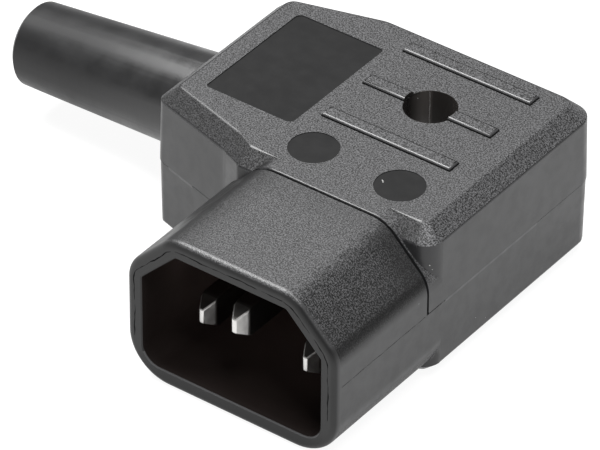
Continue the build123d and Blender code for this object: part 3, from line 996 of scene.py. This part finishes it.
def rim_line():
    """Ordered corners of the line where the rim's rounding meets its flat land, in plan of the rim."""
    work = closed_copy("base_shell")
    after = {}
    for edge in work.edges:
        slopes = sorted(face.normal.y for face in edge.link_faces)
        in_rim = all(abs(vertex.co.y) < 0.004 * MM for vertex in edge.verts)
        if in_rim and slopes[0] < -0.9999 and -0.9995 < slopes[1] < -0.9:
            ends = [Vector((vertex.co.x, vertex.co.z)).freeze() for vertex in edge.verts]
            for here, there in (ends, ends[::-1]):
                after.setdefault(here, []).append(there)
    work.free()
    if not after:
        raise RuntimeError("the rim's line was not found")
    line = [max(after, key=lambda corner: (corner.y, corner.x))]
    while True:
        onward = [corner for corner in after[line[-1]] if corner not in line]
        if not onward:
            return line
        line.append(onward[0])


def walk(corners, spacing):
    """Evenly spaced points along a closed line, with the way along it at each point."""
    steps, place = [], 0.0
    for here, there in zip(corners, corners[1:] + corners[:1]):
        span = (there - here).length
        while place < span:
            steps.append((here + (there - here) * (place / span), (there - here) / span))
            place += spacing
        place -= span
    return steps


def place_mark(piece_name, work, material):
    """Puts a mould mark into the scene, with its faces turned outward."""
    bmesh.ops.recalc_face_normals(work, faces=work.faces)
    place_piece(piece_name, work, [material])


def crease_section(point, way, place):
    """Three corners of the crease at a point of the rim, or None at the bottom and where the crease fades."""
    inward = Vector((-way.y, way.x))
    if inward.dot(point) > 0.0:
        inward = -inward
    middle = point + inward * (0.24 + 0.10 * wander(place * 0.35, 0.4)) * MM
    half = (0.085 + 0.095 * wander(place * 0.5, 2.0)) * MM
    if half < 0.014 * MM or point.y < -0.5 * HALF_BODY:
        return None
    outer, inner = middle - inward * half, middle + inward * half
    return (
        Vector((outer.x, 0.006 * MM, outer.y)),
        Vector((middle.x, -0.008 * MM, middle.y)),
        Vector((inner.x, 0.006 * MM, inner.y)),
    )


class CONNECTOR_OT_add_rim_crease(bpy.types.Operator):
    """Add the uneven crease round the rim, where two parts of the mould meet"""

    bl_idname = "connector.add_rim_crease"
    bl_label = "Add rim crease"

    def execute(self, context):
        runs = [[]]
        for index, (point, way) in enumerate(walk(rim_line(), MARK_STEP * MM)):
            section = crease_section(point, way, MARK_STEP * index)
            if section:
                runs[-1].append(section)
            else:
                runs.append([])
        work = bmesh.new()
        for run in runs:
            if len(run) > 2:
                add_ridge(work, run)
        # The crease's near-black colour is painted shade
        place_mark("rim_crease", work, mould_mark_finish("painted_crease_shade", (0.004, 0.004, 0.004), 0.6, 0.05))
        return {"FINISHED"}


def flash_section(tree, start, way, lift):
    """Three corners of the flash over the seam, found on both shells by looking along a way."""
    corners = []
    for height in (FLASH_LOW, FLASH_HIGH):
        hit = tree.ray_cast(Vector((start.x, start.y, height)), way)[0]
        if hit is None:
            raise RuntimeError("the seam's wall was not found")
        corners.append(hit + way * FLASH_SINK)
    low, high = corners
    nearest = min(low.dot(way), high.dot(way)) - FLASH_RISE - lift
    top = low * 0.5 + high * 0.5
    top += way * (nearest - top.dot(way))
    return low, top, high


class CONNECTOR_OT_add_seam_flash(bpy.types.Operator):
    """Add the flash that hides the seam on the slanted side and on the right side"""

    bl_idname = "connector.add_seam_flash"
    bl_label = "Add seam flash"

    def execute(self, context):
        tree = all_solids()
        work = bmesh.new()
        slant_inward = Vector((-SLANT_RUN.y, SLANT_RUN.x, 0.0))
        sections = []
        for index in range(24):
            place = MARK_STEP * index
            start = Vector((-27.2 + place, 12.0, 0.0)) * MM
            lift = (0.002 * wander(place, 1.0) - 0.009) * MM
            sections.append(flash_section(tree, start, slant_inward, lift))
        add_ridge(work, sections)
        right_inward = Vector((-1.0, 0.0, 0.0))
        sections = []
        for index in range(88):
            place = MARK_STEP * index
            start = Vector((BODY_RIGHT + 5.0 * MM, (20.0 + place) * MM, 0.0))
            lift = 0.006 * wander(place, 3.0) * MM
            sections.append(flash_section(tree, start, right_inward, lift))
        add_ridge(work, sections)
        place_mark("seam_flash", work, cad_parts["base_shell"].data.materials[0])
        return {"FINISHED"}


class CONNECTOR_OT_add_parting_lines(bpy.types.Operator):
    """Add the fine parting lines along both sides of the shroud"""

    bl_idname = "connector.add_parting_lines"
    bl_label = "Add parting lines"

    def execute(self, context):
        work = bmesh.new()
        root = BODY_RIGHT - 0.01 * MM
        for side in (-1.0, 1.0):
            sections = []
            for index in range(77):
                place = MARK_STEP * index
                y = (1.1 + place) * MM
                crest = BODY_RIGHT + (0.02 + 0.02 * wander(place, side)) * MM
                middle = (0.03 + 0.04 * wander(0.5 * place, 2.0 + side)) * MM
                sections.append((
                    Vector((side * root, y, middle - 0.05 * MM)),
                    Vector((side * crest, y, middle)),
                    Vector((side * root, y, middle + 0.05 * MM)),
                ))
            add_ridge(work, sections)
        place_mark("parting_lines", work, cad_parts["base_shell"].data.materials[0])
        return {"FINISHED"}


def well_line_section(place):
    """Three corners of the mould line in the screw's well, at a place measured down from the top."""
    middle = Vector((WELL_MIDDLE.x, WELL_MIDDLE.y, HALF_BODY - (0.15 + place) * MM))
    angle = WELL_TURN + math.pi / 2 + 0.012 * wander(place, 1.0)
    half = 0.014 + 0.004 * wander(place, 2.5)
    corners = []
    for turn, radius in ((-half, 0.01 * MM), (0.0, -0.05 * MM), (half, 0.01 * MM)):
        away = Vector((math.cos(angle + turn), math.sin(angle + turn), 0.0))
        corners.append(middle + away * (WELL_RADIUS + radius))
    return corners


def add_flake(work, index):
    """Small torn flake at the edge of the screw's well, with four corners."""
    angle = math.radians(148.0 + 5.0 * index + 2.0 * wander(index, 0.5))
    away = Vector((math.cos(angle), math.sin(angle), 0.0))
    aside = Vector((-away.y, away.x, 0.0))
    up = Vector((0.0, 0.0, MM))
    reach = (0.30 + 0.18 * wander(index * 1.3, 2.0)) * MM
    half = (0.16 + 0.06 * wander(index * 0.9, 4.0)) * MM
    rise = 0.10 + 0.12 * wander(index * 1.7, 1.0)
    root = Vector((WELL_MIDDLE.x, WELL_MIDDLE.y, HALF_BODY)) + away * (WELL_RADIUS + 0.05 * MM)
    low = root - up * 0.15
    heel = root + up * 0.03 + away * 0.1 * MM
    tip = root - away * reach + up * rise + aside * half * wander(index, 3.0)
    places = (low - aside * half, low + aside * half, heel, tip)
    corners = [work.verts.new(place) for place in places]
    for first, second, third in ((0, 1, 2), (0, 1, 3), (1, 2, 3), (2, 0, 3)):
        work.faces.new((corners[first], corners[second], corners[third]))


class CONNECTOR_OT_add_well_marks(bpy.types.Operator):
    """Add the mould line inside the screw's well, coloured pale as a painted highlight, and the torn flakes
    at its edge
    """

    bl_idname = "connector.add_well_marks"
    bl_label = "Add well marks"

    def execute(self, context):
        work = bmesh.new()
        add_ridge(work, [well_line_section(MARK_STEP * index) for index in range(24)])
        # The line's pale colour is a painted highlight
        place_mark("well_line", work, mould_mark_finish("mould_line_painted_highlight", (0.50, 0.49, 0.48), 0.5))
        work = bmesh.new()
        for index in range(9):
            add_flake(work, index)
        place_mark("well_flakes", work, mould_mark_finish("torn_flakes", (0.010, 0.010, 0.010), 0.45))
        return {"FINISHED"}


class CONNECTOR_OT_add_specks(bpy.types.Operator):
    """Add the few pale specks of dust and the nick beside the right disc"""

    bl_idname = "connector.add_specks"
    bl_label = "Add specks"

    def execute(self, context):
        tree = all_solids()
        right = BODY_RIGHT / MM
        top = HALF_BODY / MM
        well_x, well_y = WELL_MIDDLE.x / MM, WELL_MIDDLE.y / MM
        places = [
            (12.9, 18.3, 5.7, 0.08),
            (13.2, 18.4, 5.1, 0.07),
            (right, 15.0, 2.6, 0.07),
            (right, 26.1, -6.2, 0.08),
            (right, 28.0, -7.4, 0.06),
            (well_x - 4.6, well_y - 1.9, top, 0.10),
            (well_x - 2.5, well_y + 1.3, top - 0.8, 0.08),
            (well_x + 3.7, well_y - 14.1, top, 0.12),
            (well_x + 3.9, well_y - 14.3, top, 0.12),
        ]
        work = bmesh.new()
        for index, (x, y, z, radius) in enumerate(places):
            point, normal = tree.find_nearest(Vector((x, y, z)) * MM)[:2]
            turn = normal.to_track_quat("Z", "X").to_matrix().to_4x4()
            flat = Matrix.Diagonal((1.0, 0.8 + 0.3 * wander(index, 1.0), 0.45, 1.0))
            ball = bmesh.ops.create_icosphere(
                work, subdivisions=1, radius=radius * MM, matrix=Matrix.Translation(point) @ turn @ flat
            )
            for number, vertex in enumerate(ball["verts"]):
                vertex.co = point + (vertex.co - point) * (1.0 + 0.3 * wander(number, index))
        place_mark("dust_specks", work, mould_mark_finish("pale_dust", (0.42, 0.42, 0.41), 0.7))
        return {"FINISHED"}


def studio_camera(settings):
    """Camera at the given angles and distance from its target."""
    turn = (
        Matrix.Rotation(settings.azimuth, 4, "Z")
        @ Matrix.Rotation(math.pi / 2 - settings.elevation, 4, "X")
        @ Matrix.Rotation(settings.roll, 4, "Z")
    )
    away = Matrix.Translation((0.0, 0.0, settings.distance))
    data = bpy.data.cameras.new("studio_camera")
    data.lens = settings.lens
    data.sensor_width = 36.0
    data.clip_start = 0.01
    data.clip_end = 20.0
    camera = bpy.data.objects.new("studio_camera", data)
    camera.matrix_world = Matrix.Translation(settings.target) @ turn @ away
    bpy.context.scene.collection.objects.link(camera)
    bpy.context.scene.camera = camera


def soft_light(name, stand, side, power):
    """Square softbox that stands off the studio's middle and faces it."""
    data = bpy.data.lights.new(name, "AREA")
    data.shape = "SQUARE"
    data.size = side
    data.energy = power
    light = bpy.data.objects.new(name, data)
    light.location = STUDIO_MIDDLE + stand
    light.rotation_mode = "QUATERNION"
    light.rotation_quaternion = (-stand).to_track_quat("-Z", "Y")
    bpy.context.scene.collection.objects.link(light)


def pale_floor(settings):
    """Wide flat floor under the object."""
    work = bmesh.new()
    level = Matrix.Translation((0.0, 0.0, BASE_LOW.z - FLOOR_GAP))
    bmesh.ops.create_grid(work, x_segments=8, y_segments=8, size=FLOOR_REACH, matrix=level)
    mesh = bpy.data.meshes.new("studio_floor")
    work.to_mesh(mesh)
    work.free()
    mesh.materials.append(floor_finish(settings))
    floor = bpy.data.objects.new("studio_floor", mesh)
    bpy.context.scene.collection.objects.link(floor)


class CONNECTOR_OT_build_stage(bpy.types.Operator):
    """Set up the pale floor, the soft lights and the camera"""

    bl_idname = "connector.build_stage"
    bl_label = "Build stage"

    def execute(self, context):
        settings = context.scene.connector_studio
        scene = context.scene
        scene.view_settings.view_transform = "Standard"
        world = bpy.data.worlds.new("studio_ambient")
        world.use_nodes = True
        background = world.node_tree.nodes["Background"]
        background.inputs["Color"].default_value = (1.0, 1.0, 1.0, 1.0)
        background.inputs["Strength"].default_value = settings.ambient
        scene.world = world
        soft_light("overhead_softbox", OVERHEAD_STAND, OVERHEAD_SIDE, settings.overhead_strength)
        soft_light("front_softbox", FRONT_STAND, FRONT_SIDE, settings.front_strength)
        pale_floor(settings)
        studio_camera(settings)
        return {"FINISHED"}


class CONNECTOR_PT_sidebar(bpy.types.Panel):
    """Lists the steps that dress the connector"""

    bl_idname = "CONNECTOR_PT_sidebar"
    bl_label = "Angled connector"
    bl_space_type = "VIEW_3D"
    bl_region_type = "UI"
    bl_category = "Connector"

    def draw(self, context):
        for step in STEPS:
            self.layout.operator(step.bl_idname)


SETTINGS = {
    "connector_shell": ShellFinishSettings,
    "connector_sleeve": SleeveFinishSettings,
    "connector_metal": MetalFinishSettings,
    "connector_studio": StudioSettings,
}
STEPS = [
    CONNECTOR_OT_finish_shells,
    CONNECTOR_OT_finish_sleeve,
    CONNECTOR_OT_finish_pins,
    CONNECTOR_OT_finish_fasteners,
    CONNECTOR_OT_add_rim_crease,
    CONNECTOR_OT_add_seam_flash,
    CONNECTOR_OT_add_parting_lines,
    CONNECTOR_OT_add_well_marks,
    CONNECTOR_OT_add_specks,
    CONNECTOR_OT_build_stage,
]


def register():
    """Makes the settings, the steps and the panel known to Blender."""
    for name, group in SETTINGS.items():
        bpy.utils.register_class(group)
        setattr(bpy.types.Scene, name, bpy.props.PointerProperty(type=group))
    for step in STEPS:
        bpy.utils.register_class(step)
    bpy.utils.register_class(CONNECTOR_PT_sidebar)


def unregister():
    """Takes them away again."""
    bpy.utils.unregister_class(CONNECTOR_PT_sidebar)
    for step in reversed(STEPS):
        bpy.utils.unregister_class(step)
    for name, group in SETTINGS.items():
        delattr(bpy.types.Scene, name)
        bpy.utils.unregister_class(group)


def main():
    """Runs every step in order."""
    register()
    bpy.ops.connector.finish_shells()
    bpy.ops.connector.finish_sleeve()
    bpy.ops.connector.finish_pins()
    bpy.ops.connector.finish_fasteners()
    bpy.ops.connector.add_rim_crease()
    bpy.ops.connector.add_seam_flash()
    bpy.ops.connector.add_parting_lines()
    bpy.ops.connector.add_well_marks()
    bpy.ops.connector.add_specks()
    bpy.ops.connector.build_stage()


if __name__ == "__main__":
    main()
